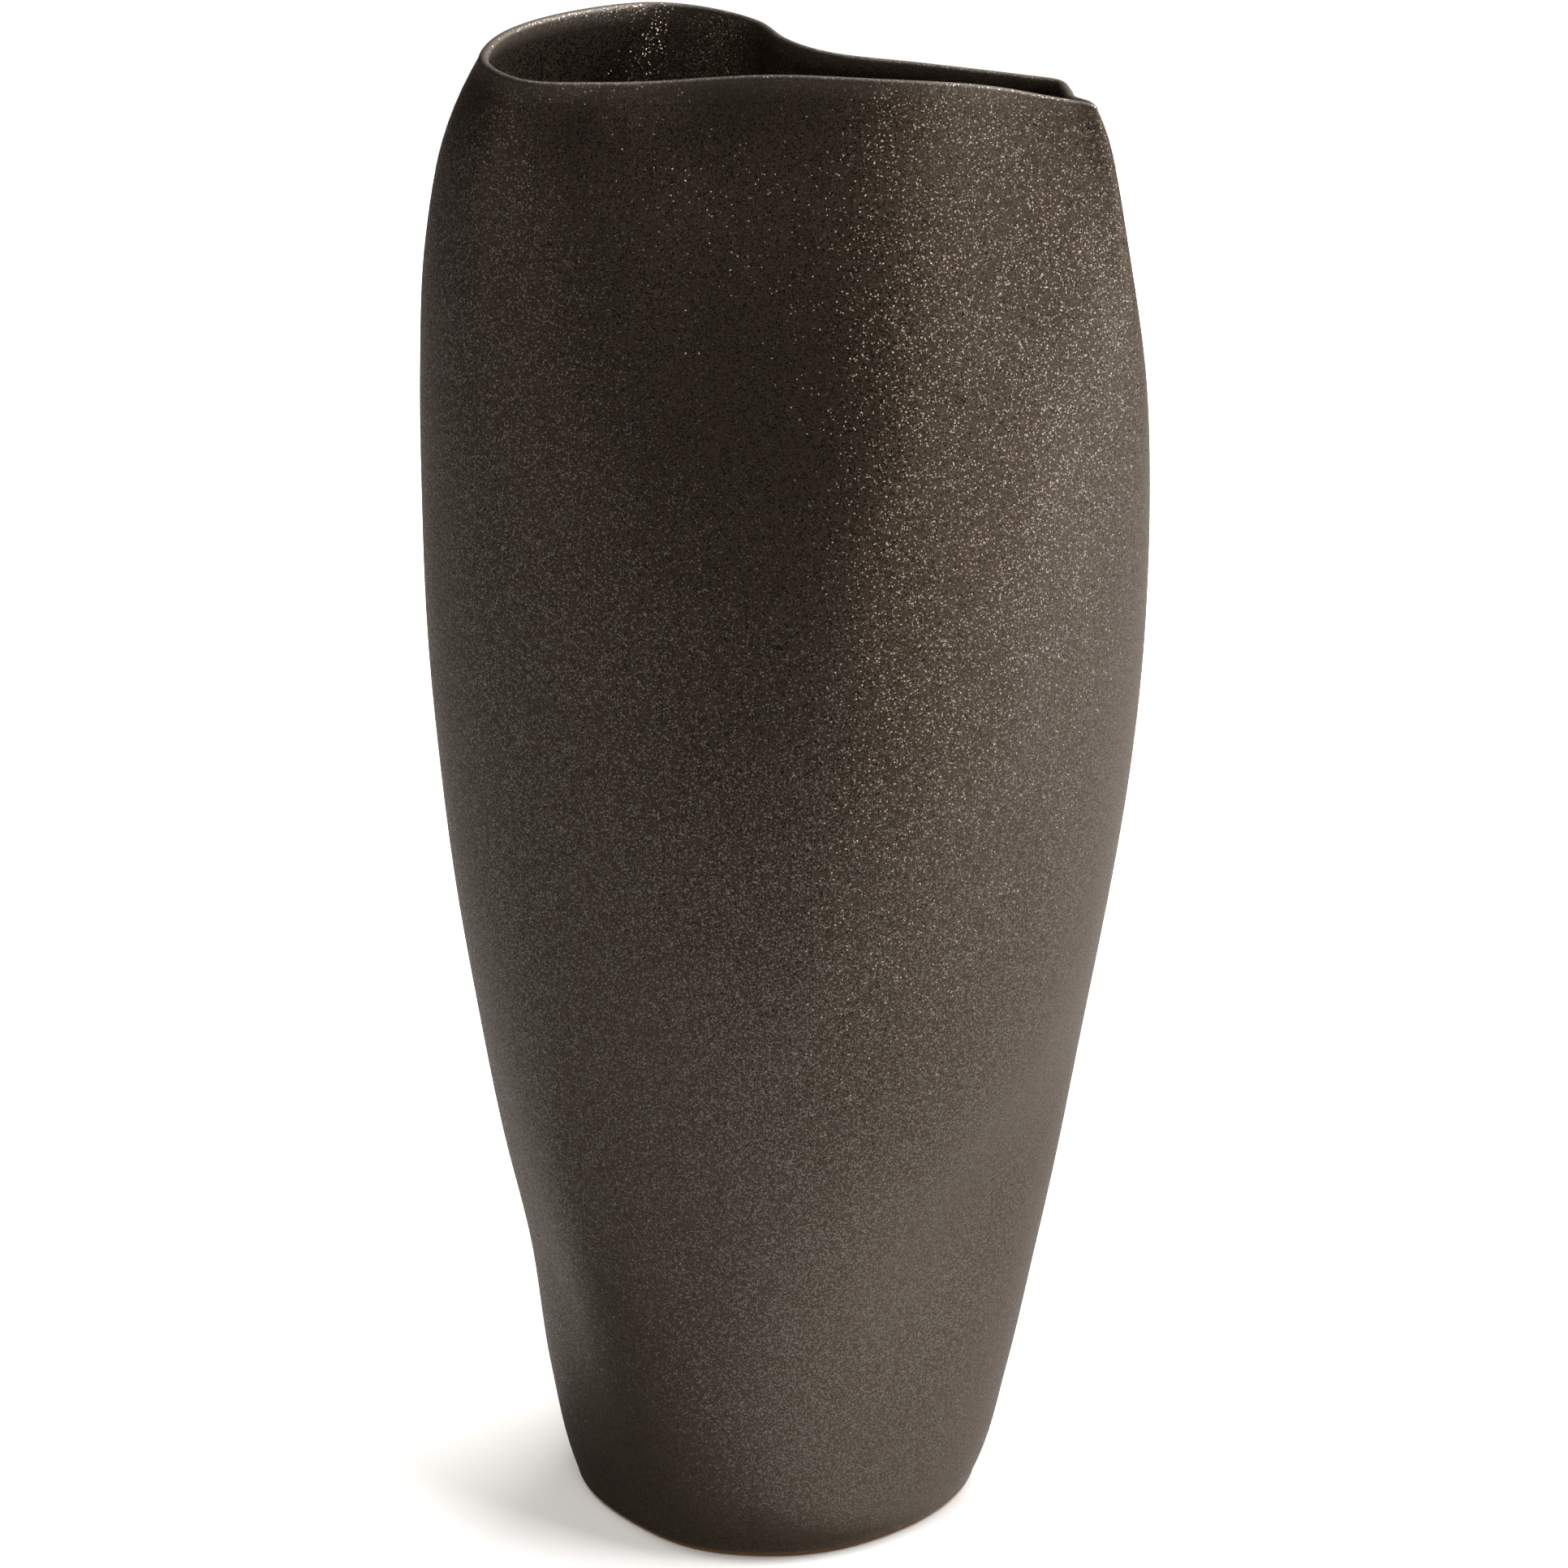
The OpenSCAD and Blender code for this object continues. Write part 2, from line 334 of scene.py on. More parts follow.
def waviness(points, wavelengths, seed):
    """Soft unevenness between about -1 and 1 at each point, from a sum of fixed waves."""
    draw = np.random.default_rng(seed)
    total = np.zeros(len(points))
    for length in wavelengths:
        way = draw.normal(size=3)
        way *= 2 * math.pi / (length * np.linalg.norm(way))
        total += np.sin(points @ way + draw.uniform(0, 2 * math.pi))
    return total / math.sqrt(len(wavelengths))


class VaseForm:
    """Outer and inner loops of the vase in millimetres, worked out from the tables and the sizes."""

    # The tables' own column count, over which the inward direction is taken
    base_columns = 92
    base_reach = 4
    crowd = 25
    crowd_at = 15

    def __init__(self, sizes, columns):
        self.sizes = sizes
        self.columns = columns
        self.scale = (
            sizes.width / MM / TABLE_WIDTH,
            sizes.depth / MM / TABLE_DEPTH,
            sizes.height / MM / TABLE_HEIGHT,
        )
        even = np.arange(columns) * 360.0 / columns
        self.angles = even - self.crowd * np.sin(np.radians(even - self.crowd_at))
        self.reach = max(1, round(self.base_reach * columns / self.base_columns))
        self.shoulder = SHOULDER * self.scale[2]
        self.floor_top = FLOOR_TOP / MM
        self.lip_radius = sizes.lip_thick / MM / 2
        self.body_slopes = [slopes(BODY[:, 0], BODY[:, c]) for c in range(5)]
        self.mouth = self.mouth_outline()
        self.rim = self.rim_heights()
        self.foot = self.foot_loop()

    def mouth_outline(self):
        """The mouth's x and y at every column."""
        whole_turn = np.array([360, 0, 0])
        closed = np.vstack([MOUTH[-1] - whole_turn, MOUTH, MOUTH[:2] + whole_turn])
        angle = closed[:, 0]
        at = wrap(self.angles, MOUTH[0, 0])
        return [smooth_curve(angle, way, slopes(angle, way), at) for way in (closed[:, 1], closed[:, 2])]

    def rim_heights(self):
        """Height of the lip's middle line at every column, less the round of the lip."""
        rim = self.sizes.height / MM - self.sizes.lip_fall / MM / 2 * (1 + self.mouth[0] / MOUTH_HALF)
        for angle, lift in WAVES:
            rim = rim + lift * bell(turn(self.angles, angle) / WAVE_HALF)
        return rim - self.lip_radius

    def outer(self, level):
        """One loop of the outer face; above the floor the level leans to the lip."""
        z = np.full(self.columns, float(level))
        if level > self.floor_top:
            z = z + (level / self.shoulder) ** 4 * (self.rim - self.shoulder)
        t = z / self.scale[2]
        left, right, front, back = [
            smooth_curve(BODY[:, 0], BODY[:, c], self.body_slopes[c], t) for c in (1, 2, 3, 4)
        ]
        half_x = (right - left) / 2
        half_y = (back - front) / 2
        fold = np.minimum((np.maximum(t - FOLD_FROM, 0) / (FOLD_TO - FOLD_FROM)) ** 2, 1.05)
        cos = np.cos(np.radians(self.angles))
        sin = np.sin(np.radians(self.angles))
        out = np.stack([cos * half_y, sin * half_x])
        out /= np.linalg.norm(out, axis=0)
        push = sum(
            deep * bell(turn(self.angles, angle + lean * (t - high) / 10) / half_turn)
            * bell((t - high) / half_high)
            for angle, high, half_turn, half_high, lean, deep in PUSHES
        )
        x = (right + left) / 2 + half_x * ((1 - fold) * cos + fold * self.mouth[0] / MOUTH_HALF)
        y = (1 - fold) * ((back + front) / 2 + half_y * sin) + fold * self.mouth[1]
        return np.stack([
            (x + out[0] * push + MIDDLE[0]) * self.scale[0],
            (y + out[1] * push + MIDDLE[1]) * self.scale[1],
            z,
        ], axis=1)

    def inward(self, loop):
        """Direction into the vase at every point of a loop, taken across its neighbours."""
        along = np.roll(loop, -self.reach, axis=0) - np.roll(loop, self.reach, axis=0)
        length = np.hypot(along[:, 0], along[:, 1])
        return np.stack([-along[:, 1] / length, along[:, 0] / length, 0 * length], axis=1)

    def inset(self, loop, by, z=None):
        """A loop moved into the vase, and set at the height z if one is given."""
        moved = loop + self.inward(loop) * by
        if z is not None:
            moved[:, 2] = z
        return moved

    def foot_loop(self):
        """Inner loop of the foot, which the wall, the floor and the foot ring share."""
        heel = self.outer(HEEL_Z / MM)
        return self.inset(heel, (self.sizes.heel_radius + self.sizes.heel_land) / MM, HEEL_Z / MM)

    def inner(self, loop, level):
        """Loop of the inner face behind an outer loop."""
        wall = self.sizes.wall / MM
        thin_from = THIN_FROM * self.scale[2]
        thin = np.clip((loop[:, 2] - thin_from) / (self.rim - thin_from), 0, 1)
        thick = wall + (2 * self.lip_radius - wall) * thin
        free = loop + self.inward(loop) * thick[:, None]
        open_up = ease((level - self.floor_top) / (self.sizes.foot_taper / MM))
        inner = self.foot * (1 - open_up) + free * open_up
        inner[:, 2] = loop[:, 2]
        return inner


# ---------------------------------------------------------------- meshes

def swept_faces(rows, columns, closed):
    """Quads between neighbouring loops; a closed skin joins its last loop to its first."""
    last = rows if closed else rows - 1
    r = np.arange(last)[:, None]
    c = np.arange(columns)[None, :]
    up = (r + 1) % rows
    across = (c + 1) % columns
    quads = np.stack([
        np.broadcast_to(r * columns + c, (last, columns)),
        np.broadcast_to(r * columns + across, (last, columns)),
        up * columns + across,
        up * columns + c,
    ], axis=-1)
    return quads.reshape(-1, 4)


def collection(name):
    """The named collection, made at its first use: the vase and the stage have lamps of their own."""
    made = bpy.data.collections.get(name)
    if made is None:
        made = bpy.data.collections.new(name)
        bpy.context.scene.collection.children.link(made)
    return made


def new_piece(name, points, faces, material, marks=None, home="vase_set"):
    """A smooth-shaded mesh object; marks are values per point that the material reads."""
    mesh = bpy.data.meshes.new(name)
    mesh.from_pydata([tuple(p) for p in points], [], [tuple(int(i) for i in f) for f in faces])
    for mark, values in (marks or {}).items():
        layer = mesh.attributes.new(mark, "FLOAT", "POINT")
        layer.data.foreach_set("value", np.asarray(values, dtype=np.float32))
    mesh.materials.append(material)
    mesh.polygons.foreach_set("use_smooth", [True] * len(mesh.polygons))
    if mesh.validate():
        raise RuntimeError(f"{name}: the mesh had faults")
    mesh.update()
    piece = bpy.data.objects.new(name, mesh)
    collection(home).objects.link(piece)
    return piece


def set_in_frame(points, node):
    """Points stretched by a hair so that their box is the CAD node's box."""
    low, high = [np.array(corner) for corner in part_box(node)]
    mine_low = points.min(axis=0)
    mine_high = points.max(axis=0)
    return low + (points - mine_low) * (high - low) / (mine_high - mine_low)


def build_wall(sizes, material):
    """The folded wall, one closed skin from the heel over the lip and down the inside."""
    form = VaseForm(sizes, sizes.columns)
    heel_z = HEEL_Z / MM
    heel_radius = sizes.heel_radius / MM
    heel_steps = 6
    lip_steps = 12
    heel_top = form.outer(heel_z + heel_radius)
    loops = []
    bare = []
    thin = []
    inner = []

    def add(loop, is_bare, is_thin, is_inner=0.0):
        loops.append(loop)
        inner.append(np.full(form.columns, float(is_inner)))
        bare.append(np.full(form.columns, float(is_bare)))
        thin.append(np.full(form.columns, float(is_thin)))

    # Flat land under the wall, then the round heel, where the glaze was wiped off
    for share in (0.0, 0.33, 0.67):
        reach = (sizes.heel_radius + sizes.heel_land * (1 - share)) / MM
        add(form.inset(form.outer(heel_z), reach, heel_z), 1, 0)
    for step in range(heel_steps):
        a = math.pi / 2 * step / heel_steps
        z = heel_z + heel_radius * (1 - math.cos(a))
        loop = form.inset(heel_top, heel_radius * (1 - math.sin(a)), z)
        add(loop, 1 - ease((step - 1) / 3), ease(step / 2) * 0.6)
    add(heel_top, 0, 0.25)
    for z in (5.6, 8.2, 11.0):
        add(form.outer(z), 0, 0)

    # Outer face, lip and inner face
    rows = sizes.rows
    span = form.shoulder - form.floor_top
    levels = [form.floor_top + span * k / rows for k in range(rows + 1)]
    depths = [(rows - k) * span / rows for k in range(rows + 1)]
    breaks = [BREAK_SHARE * bell(depth / BREAK_DEPTH) for depth in depths]
    side = [form.outer(level) for level in levels]
    rolls = [sizes.lip_roll / MM * max(1 - depth / ROLL_DEPTH, 0) ** 2 for depth in depths]
    side = [loop + form.inward(loop) * roll for loop, roll in zip(side, rolls)]
    inside = [form.inner(loop, level) for loop, level in zip(side, levels)]
    marks = sizes.hand_marks / MM
    for k, loop in enumerate(side):
        fade = ease(k / 6) * ease((rows - k) / 6)
        life = waviness(loop, (34, 41, 55, 63, 78, 96), 5) * marks * fade
        add(loop + form.inward(loop) * life[:, None], 0, breaks[k])
    for step in range(1, lip_steps):
        a = math.pi * step / lip_steps
        loop = side[-1] * (1 + math.cos(a)) / 2 + inside[-1] * (1 - math.cos(a)) / 2
        loop = loop + np.array([0, 0, form.lip_radius * math.sin(a)])
        add(loop, 0, 0.5 + 0.5 * math.sin(a))
    for k in range(rows, -1, -1):
        loop = inside[k]
        low = ease((COIL_TOP - levels[k]) / COIL_FADE) * ease(k / 3)
        sway = COIL_SWAY * waviness(loop, (90, 130), 3)
        coils = np.cos(2 * math.pi * (loop[:, 2] + sway) / COIL_HEIGHT)
        life = coils * COIL_DEPTH * low + waviness(loop, (30, 44, 60, 85), 9) * marks * 2 * ease(k / 4)
        life = life * ease((rows - k) / 6)
        add(loop - form.inward(loop) * life[:, None], 0, breaks[k], 1)
    add(form.inset(form.foot, 0, RING_TOP / MM), 1, 0)

    points = set_in_frame(np.concatenate(loops) * MM, "wall")
    faces = swept_faces(len(loops), form.columns, True)
    values = {"bare": np.concatenate(bare), "thin": np.concatenate(thin), "inner": np.concatenate(inner)}
    return new_piece("glazed_wall", points, faces, material, values)


def capped(loops, columns):
    """Faces of a skin whose first and last points are single points in the middle."""
    faces = [tuple(f) for f in swept_faces(len(loops), columns, False) + 1]
    last = 1 + len(loops) * columns
    top = last - columns
    for c in range(columns):
        across = (c + 1) % columns
        faces.append((0, 1 + across, 1 + c))
        faces.append((top + c, top + across, last))
    return faces


def build_floor(sizes, foot, material):
    """The floor slab: scraped bare clay below, pressed and glazed above with a glaze fillet at the wall."""
    columns = 240
    form = VaseForm(sizes, columns)
    edge = form.foot
    middle = edge.mean(axis=0)
    ring_top = RING_TOP / MM
    floor_top = FLOOR_TOP / MM
    fillet = foot.fillet / MM
    marks = foot.press_marks / MM

    def shrunk(share, z):
        loop = middle + (edge - middle) * share
        loop[:, 2] = z
        return loop

    loops = []
    bare = []
    for share in (0.12, 0.25, 0.4, 0.55, 0.7, 0.8, 0.88, 0.95, 1.0):
        loops.append(shrunk(share, ring_top))
        bare.append(1.0)
    for z in (ring_top + 3, ring_top + 6, floor_top):
        loops.append(shrunk(1.0, z))
        bare.append(0.5)
    fillet_steps = 6
    swirl_per_mm = 0.55
    for step in range(fillet_steps + 1):
        a = math.pi / 2 * step / fillet_steps
        loop = form.inset(edge, fillet * 1.6 * (1 - math.cos(a)), floor_top + fillet * (1 - math.sin(a)))
        loops.append(loop)
        bare.append(0.0)
    inner_edge = loops[-1].copy()
    for share in np.linspace(0.97, 0.06, 26):
        loop = middle + (inner_edge - middle) * share
        from_middle = np.hypot(loop[:, 0] - middle[0], loop[:, 1] - middle[1])
        swirl = np.sin(swirl_per_mm * from_middle + np.radians(form.angles))
        dent = waviness(loop, (18, 25, 33, 47), 4) * 0.6 + swirl * 0.4
        loop[:, 2] = floor_top - marks * ease((1 - share) / 0.2) * (1 + dent) / 2
        loops.append(loop)
        bare.append(0.0)
    low = np.array([[middle[0], middle[1], ring_top]])
    high = np.array([[middle[0], middle[1], loops[-1][:, 2].mean()]])
    points = np.concatenate([low, *loops, high]) * MM
    values = np.concatenate([[1.0], np.repeat(bare, columns), [0.0]])
    marks = {"bare": values, "thin": np.zeros(len(points))}
    return new_piece("glazed_floor", points, capped(loops, columns), material, marks)


def build_foot_ring(sizes, foot, material):
    """The bare clay foot ring with sponged round edges and a slightly worn bottom."""
    columns = 260
    form = VaseForm(sizes, columns)
    width = foot.ring_width / MM
    edge = foot.ring_round / MM
    bottom = HEEL_Z / MM
    top = RING_TOP / MM
    round_steps = 5
    profile = [(0.0, top), (0.0, (top + bottom) / 2)]
    for step in range(round_steps + 1):
        a = math.pi / 2 * step / round_steps
        profile.append((edge * (1 - math.cos(a)), bottom + edge * (1 - math.sin(a))))
    for share in (0.25, 0.5, 0.75):
        profile.append((edge + (width - 2 * edge) * share, bottom))
    for step in range(round_steps + 1):
        a = math.pi / 2 * step / round_steps
        profile.append((width - edge * (1 - math.sin(a)), bottom + edge * (1 - math.cos(a))))
    profile += [(width, (top + bottom) / 2), (width, top), (width / 2, top)]
    loops = []
    for inset, z in profile:
        loop = form.inset(form.foot, inset, z)
        wear = (1 + waviness(loop, (9, 13, 17, 24), 6)) * 0.06
        loop[:, 2] += np.clip(wear, 0, 0.15) * (z < bottom + edge)
        loops.append(loop)
    points = np.concatenate(loops) * MM
    return new_piece("foot_ring_clay", points, swept_faces(len(loops), columns, True), material)


def build_felt_pad(node, seed, material):
    """One felt pad: a cut disc with a soft, slightly ragged edge."""
    low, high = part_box(node)
    middle = (low + high) / 2
    radius = (high.x - low.x) / 2
    thick = high.z - low.z
    columns = 72
    turn_to = np.arange(columns) * 2 * math.pi / columns
    profile = [(0.35, 1.0), (0.7, 1.0), (0.94, 1.0), (0.985, 0.93), (0.995, 0.75), (1.0, 0.55), (0.998, 0.35),
               (0.985, 0.17), (0.96, 0.05), (0.90, 0.0), (0.7, 0.0), (0.35, 0.0)]
    loops = []
    for reach, up in profile:
        ring = np.stack([np.cos(turn_to), np.sin(turn_to), 0 * turn_to], axis=1) * radius * reach
        ragged = waviness(ring / MM + [0, 0, up], (1.1, 1.7, 2.6, 3.9), seed) * 0.012 * radius
        ring -= ring / (radius * reach) * np.abs(ragged)[:, None] * (reach > 0.9)
        ring[:, 2] = thick * up
        loops.append(ring)
    base = np.array([middle.x, middle.y, low.z])
    centre_top = np.array([[0, 0, thick]])
    centre_low = np.array([[0, 0, 0.0]])
    points = np.concatenate([centre_top, *loops, centre_low]) + base
    faces = [tuple(reversed(f)) for f in capped(loops, columns)]
    return new_piece(node + "_cut", points, faces, material)


# ---------------------------------------------------------------- materials

def put(tree, kind, inputs=None, **settings):
    """A new node with its settings, its input values and the sockets linked into it."""
    made = tree.nodes.new(kind)
    for name, value in settings.items():
        setattr(made, name, value)
    for name, value in (inputs or {}).items():
        socket = made.inputs[name]
        if isinstance(value, bpy.types.NodeSocket):
            tree.links.new(value, socket)
        else:
            socket.default_value = value
    return made


def maths(tree, operation, *values, clamp=False):
    """Result socket of a Math node."""
    made = put(tree, "ShaderNodeMath", dict(enumerate(values)), operation=operation, use_clamp=clamp)
    return made.outputs[0]


def vector_maths(tree, operation, *values):
    """Result socket of a Vector Math node."""
    made = put(tree, "ShaderNodeVectorMath", dict(enumerate(values)), operation=operation)
    return made.outputs[0]


def mixed(tree, share, a, b):
    """Colour socket of a mix from a to b."""
    made = put(tree, "ShaderNodeMix", {0: share, 6: a, 7: b}, data_type="RGBA")
    return made.outputs[2]


def spread(tree, value, low, high, to_low, to_high):
    """A value carried from one range to another, held at its ends."""
    made = put(tree, "ShaderNodeMapRange", {0: value, 1: low, 2: high, 3: to_low, 4: to_high})
    return made.outputs[0]


def rgba(colour):
    """A colour with full alpha."""
    return (*colour, 1.0)


def new_group(name, inputs, outputs):
    """An empty shader node group with the named sockets, and its two end nodes."""
    tree = bpy.data.node_groups.new(name, "ShaderNodeTree")
    for label, kind, value in inputs:
        socket = tree.interface.new_socket(name=label, in_out="INPUT", socket_type=kind)
        if value is not None:
            socket.default_value = value
    for label, kind in outputs:
        tree.interface.new_socket(name=label, in_out="OUTPUT", socket_type=kind)
    return tree, tree.nodes.new("NodeGroupInput").outputs, tree.nodes.new("NodeGroupOutput").inputs


def mica_group():
    """Flat mica flakes in a glaze: each cell tilts its own way, and some are bright flakes."""
    tree, given, out = new_group(
        "Mica flakes",
        [("Position", "NodeSocketVector", None), ("Normal", "NodeSocketVector", None),
         ("Flake Size", "NodeSocketFloat", 0.0004), ("Share", "NodeSocketFloat", 0.15),
         ("Grain Tilt", "NodeSocketFloat", 0.1), ("Flake Tilt", "NodeSocketFloat", 0.4)],
        [("Normal", "NodeSocketVector"), ("Flake", "NodeSocketFloat"), ("Grain", "NodeSocketFloat")],
    )
    scale = maths(tree, "DIVIDE", 1.0, given["Flake Size"])
    cells = put(tree, "ShaderNodeTexVoronoi", {"Vector": given["Position"], "Scale": scale}, feature="F1")
    parts = put(tree, "ShaderNodeSeparateColor", {"Color": cells.outputs["Color"]})
    # A second set of random numbers, so that a flake's tilt isn't tied to whether it is one
    cell_middle = cells.outputs["Position"]
    chance = put(tree, "ShaderNodeTexWhiteNoise", {"Vector": cell_middle}, noise_dimensions="3D")
    flake = maths(tree, "LESS_THAN", chance.outputs["Value"], given["Share"])
    tilts = {0: flake, 2: given["Grain Tilt"], 3: given["Flake Tilt"]}
    tilt = put(tree, "ShaderNodeMix", tilts, data_type="FLOAT")
    lean = vector_maths(tree, "SUBTRACT", cells.outputs["Color"], (0.5, 0.5, 0.5))
    lean = put(tree, "ShaderNodeVectorMath", {0: lean, "Scale": tilt.outputs[0]}, operation="SCALE")
    normal = vector_maths(tree, "NORMALIZE", vector_maths(tree, "ADD", given["Normal"], lean.outputs[0]))
    tree.links.new(normal, out["Normal"])
    tree.links.new(flake, out["Flake"])
    tree.links.new(parts.outputs[0], out["Grain"])
    return tree


def cloud_group():
    """Soft clouding of a fired surface, from broad drifts down to fine mottling."""
    tree, given, out = new_group(
        "Clouding",
        [("Position", "NodeSocketVector", None), ("Broad", "NodeSocketFloat", 12.0),
         ("Fine", "NodeSocketFloat", 160.0)],
        [("Tone", "NodeSocketFloat")],
    )
    broad = put(tree, "ShaderNodeTexNoise", {
        "Vector": given["Position"], "Scale": given["Broad"],
        "Detail": 3.0, "Roughness": 0.55, "Distortion": 0.4})
    fine = put(tree, "ShaderNodeTexNoise", {
        "Vector": given["Position"], "Scale": given["Fine"], "Detail": 4.0, "Roughness": 0.6})
    tone = maths(tree, "ADD", maths(tree, "MULTIPLY", broad.outputs[0], 0.65),
                 maths(tree, "MULTIPLY", fine.outputs[0], 0.35))
    tree.links.new(spread(tree, tone, 0.3, 0.7, 0.0, 1.0), out["Tone"])
    return tree


def fired_group():
    """Height of a fired surface in units of its deepest mark: peel, fine grit and a few pinholes."""
    tree, given, out = new_group(
        "Fired surface",
        [("Position", "NodeSocketVector", None), ("Peel", "NodeSocketFloat", 420.0),
         ("Grit", "NodeSocketFloat", 2600.0), ("Pits", "NodeSocketFloat", 130.0)],
        [("Height", "NodeSocketFloat"), ("Pit", "NodeSocketFloat")],
    )
    place = given["Position"]
    peel = put(tree, "ShaderNodeTexNoise", {"Vector": place, "Scale": given["Peel"], "Detail": 2.0})
    grit = put(tree, "ShaderNodeTexNoise", {"Vector": place, "Scale": given["Grit"], "Detail": 1.0})
    pits = put(tree, "ShaderNodeTexVoronoi", {"Vector": place, "Scale": given["Pits"]}, feature="F1")
    pit = spread(tree, pits.outputs["Distance"], 0.02, 0.06, 1.0, 0.0)
    height = maths(tree, "ADD", maths(tree, "MULTIPLY", peel.outputs[0], 0.6),
                   maths(tree, "MULTIPLY", grit.outputs[0], 0.4))
    height = maths(tree, "SUBTRACT", height, maths(tree, "MULTIPLY", pit, 0.7))
    tree.links.new(height, out["Height"])
    tree.links.new(pit, out["Pit"])
    return tree


def shared(make):
    """The group that a function makes, made only once."""
    names = {mica_group: "Mica flakes", cloud_group: "Clouding", fired_group: "Fired surface"}
    return bpy.data.node_groups.get(names[make]) or make()


def use_group(tree, make, inputs):
    """A group node placed in a material with its own values."""
    made = tree.nodes.new("ShaderNodeGroup")
    made.node_tree = shared(make)
    for name, value in inputs.items():
        if isinstance(value, bpy.types.NodeSocket):
            tree.links.new(value, made.inputs[name])
        else:
            made.inputs[name].default_value = value
    return made.outputs


def new_material(name, colour):
    """A material with an empty node tree, its shader and the object's own coordinates."""
    material = bpy.data.materials.new(name)
    material.use_nodes = True
    material.diffuse_color = rgba(colour)
    tree = material.node_tree
    tree.nodes.clear()
    shader = tree.nodes.new("ShaderNodeBsdfPrincipled")
    output = tree.nodes.new("ShaderNodeOutputMaterial")
    tree.links.new(shader.outputs[0], output.inputs["Surface"])
    place = tree.nodes.new("ShaderNodeTexCoord").outputs["Object"]
    return material, tree, shader, place


def glaze_material(finish):
    """Satin bronze-black glaze full of fine mica, lighter over the lip, with bare clay at the foot and paler,
    denser flakes inside as painted glints.
    """
    material, tree, shader, place = new_material("Bronze mica glaze", finish.glaze_dark)
    bare = put(tree, "ShaderNodeAttribute", attribute_name="bare").outputs["Fac"]
    thin = put(tree, "ShaderNodeAttribute", attribute_name="thin").outputs["Fac"]
    inner = put(tree, "ShaderNodeAttribute", attribute_name="inner").outputs["Fac"]
    cloud = use_group(tree, cloud_group, {"Position": place, "Broad": 11.0, "Fine": 170.0})["Tone"]
    fired = use_group(tree, fired_group, {"Position": place, "Peel": 380.0, "Grit": 2400.0, "Pits": 95.0})
    bump = put(tree, "ShaderNodeBump", {"Height": fired["Height"], "Strength": 0.35, "Distance": 0.0001})
    # On the inner face more flakes are bright: painted glints of the light that falls into the mouth
    share = spread(tree, inner, 0.0, 1.0, finish.flake_share, INSIDE_GLINT_FLAKE_SHARE)
    mica = use_group(tree, mica_group, {
        "Position": place, "Normal": bump.outputs[0], "Flake Size": finish.flake_size,
        "Share": share, "Grain Tilt": 0.25, "Flake Tilt": 0.55})

    body = mixed(tree, cloud, rgba(finish.glaze_dark), rgba(finish.glaze_warm))
    grain = spread(tree, mica["Grain"], 0.0, 1.0, 0.88, 1.12)
    shade = put(tree, "ShaderNodeCombineColor", {0: grain, 1: grain, 2: grain}).outputs[0]
    shading = {0: 1.0, 6: body, 7: shade}
    shaded = put(tree, "ShaderNodeMix", shading, data_type="RGBA", blend_type="MULTIPLY")
    # Inner flakes take a paler colour: painted glints, the outer mica is the glaze's own colour
    flake_tone_with_inside_glint = mixed(tree, inner, rgba(finish.mica), rgba(finish.mica_inside_glint))
    body = mixed(tree, mica["Flake"], shaded.outputs[2], flake_tone_with_inside_glint)
    body = mixed(tree, maths(tree, "MULTIPLY", thin, 0.55), body, rgba(finish.glaze_edge))
    clay_tone = maths(tree, "MULTIPLY", bare, spread(tree, cloud, 0.0, 1.0, 1.0, 0.9))
    colour = mixed(tree, clay_tone, body, rgba(finish.clay))
    tree.links.new(colour, shader.inputs["Base Color"])

    rough = maths(tree, "ADD", 0.46, maths(tree, "MULTIPLY", cloud, 0.06))
    rough = maths(tree, "SUBTRACT", rough, maths(tree, "MULTIPLY", mica["Flake"], 0.29))
    rough = maths(tree, "ADD", rough, maths(tree, "MULTIPLY", thin, 0.12))
    rough = maths(tree, "ADD", rough, maths(tree, "MULTIPLY", bare, 0.4), clamp=True)
    tree.links.new(rough, shader.inputs["Roughness"])
    # The flakes are bright metal in a half-metal glaze; none shows where the glaze breaks thin or stops
    unbroken = maths(tree, "SUBTRACT", 1.0, maths(tree, "MULTIPLY", thin, 0.7))
    mica_shows = maths(tree, "MULTIPLY", mica["Flake"], unbroken)
    metal = maths(tree, "MAXIMUM", 0.45, mica_shows)
    metal = maths(tree, "MULTIPLY", maths(tree, "SUBTRACT", 1.0, bare), metal)
    tree.links.new(metal, shader.inputs["Metallic"])
    tree.links.new(mica["Normal"], shader.inputs["Normal"])
    shader.inputs["Specular Tint"].default_value = (0.65, 0.60, 0.55, 1.0)
    shader.inputs["Coat Weight"].default_value = 0.08
    shader.inputs["Coat Roughness"].default_value = 0.30
    return material


def clay_material(finish):
    """Bare fired stoneware: buff orange with darker grog specks and a sandy tooth."""
    material, tree, shader, place = new_material("Bare stoneware", finish.clay)
    cloud = use_group(tree, cloud_group, {"Position": place, "Broad": 40.0, "Fine": 420.0})["Tone"]
    fired = use_group(tree, fired_group, {"Position": place, "Peel": 900.0, "Grit": 3200.0, "Pits": 300.0})
    pale = tuple(min(1.0, c * 1.18) for c in finish.clay)
    dark = tuple(c * 0.72 for c in finish.clay)
    body = mixed(tree, cloud, rgba(dark), rgba(pale))
    specks = put(tree, "ShaderNodeTexVoronoi", {"Vector": place, "Scale": 620.0}, feature="F1")
    speck = spread(tree, specks.outputs["Distance"], 0.10, 0.22, 0.8, 0.0)
    body = mixed(tree, speck, body, (0.10, 0.065, 0.045, 1.0))
    tree.links.new(body, shader.inputs["Base Color"])
    tree.links.new(spread(tree, cloud, 0.0, 1.0, 0.82, 0.95), shader.inputs["Roughness"])
    bump = put(tree, "ShaderNodeBump", {"Height": fired["Height"], "Strength": 0.9, "Distance": 0.0002})
    tree.links.new(bump.outputs[0], shader.inputs["Normal"])
    return material


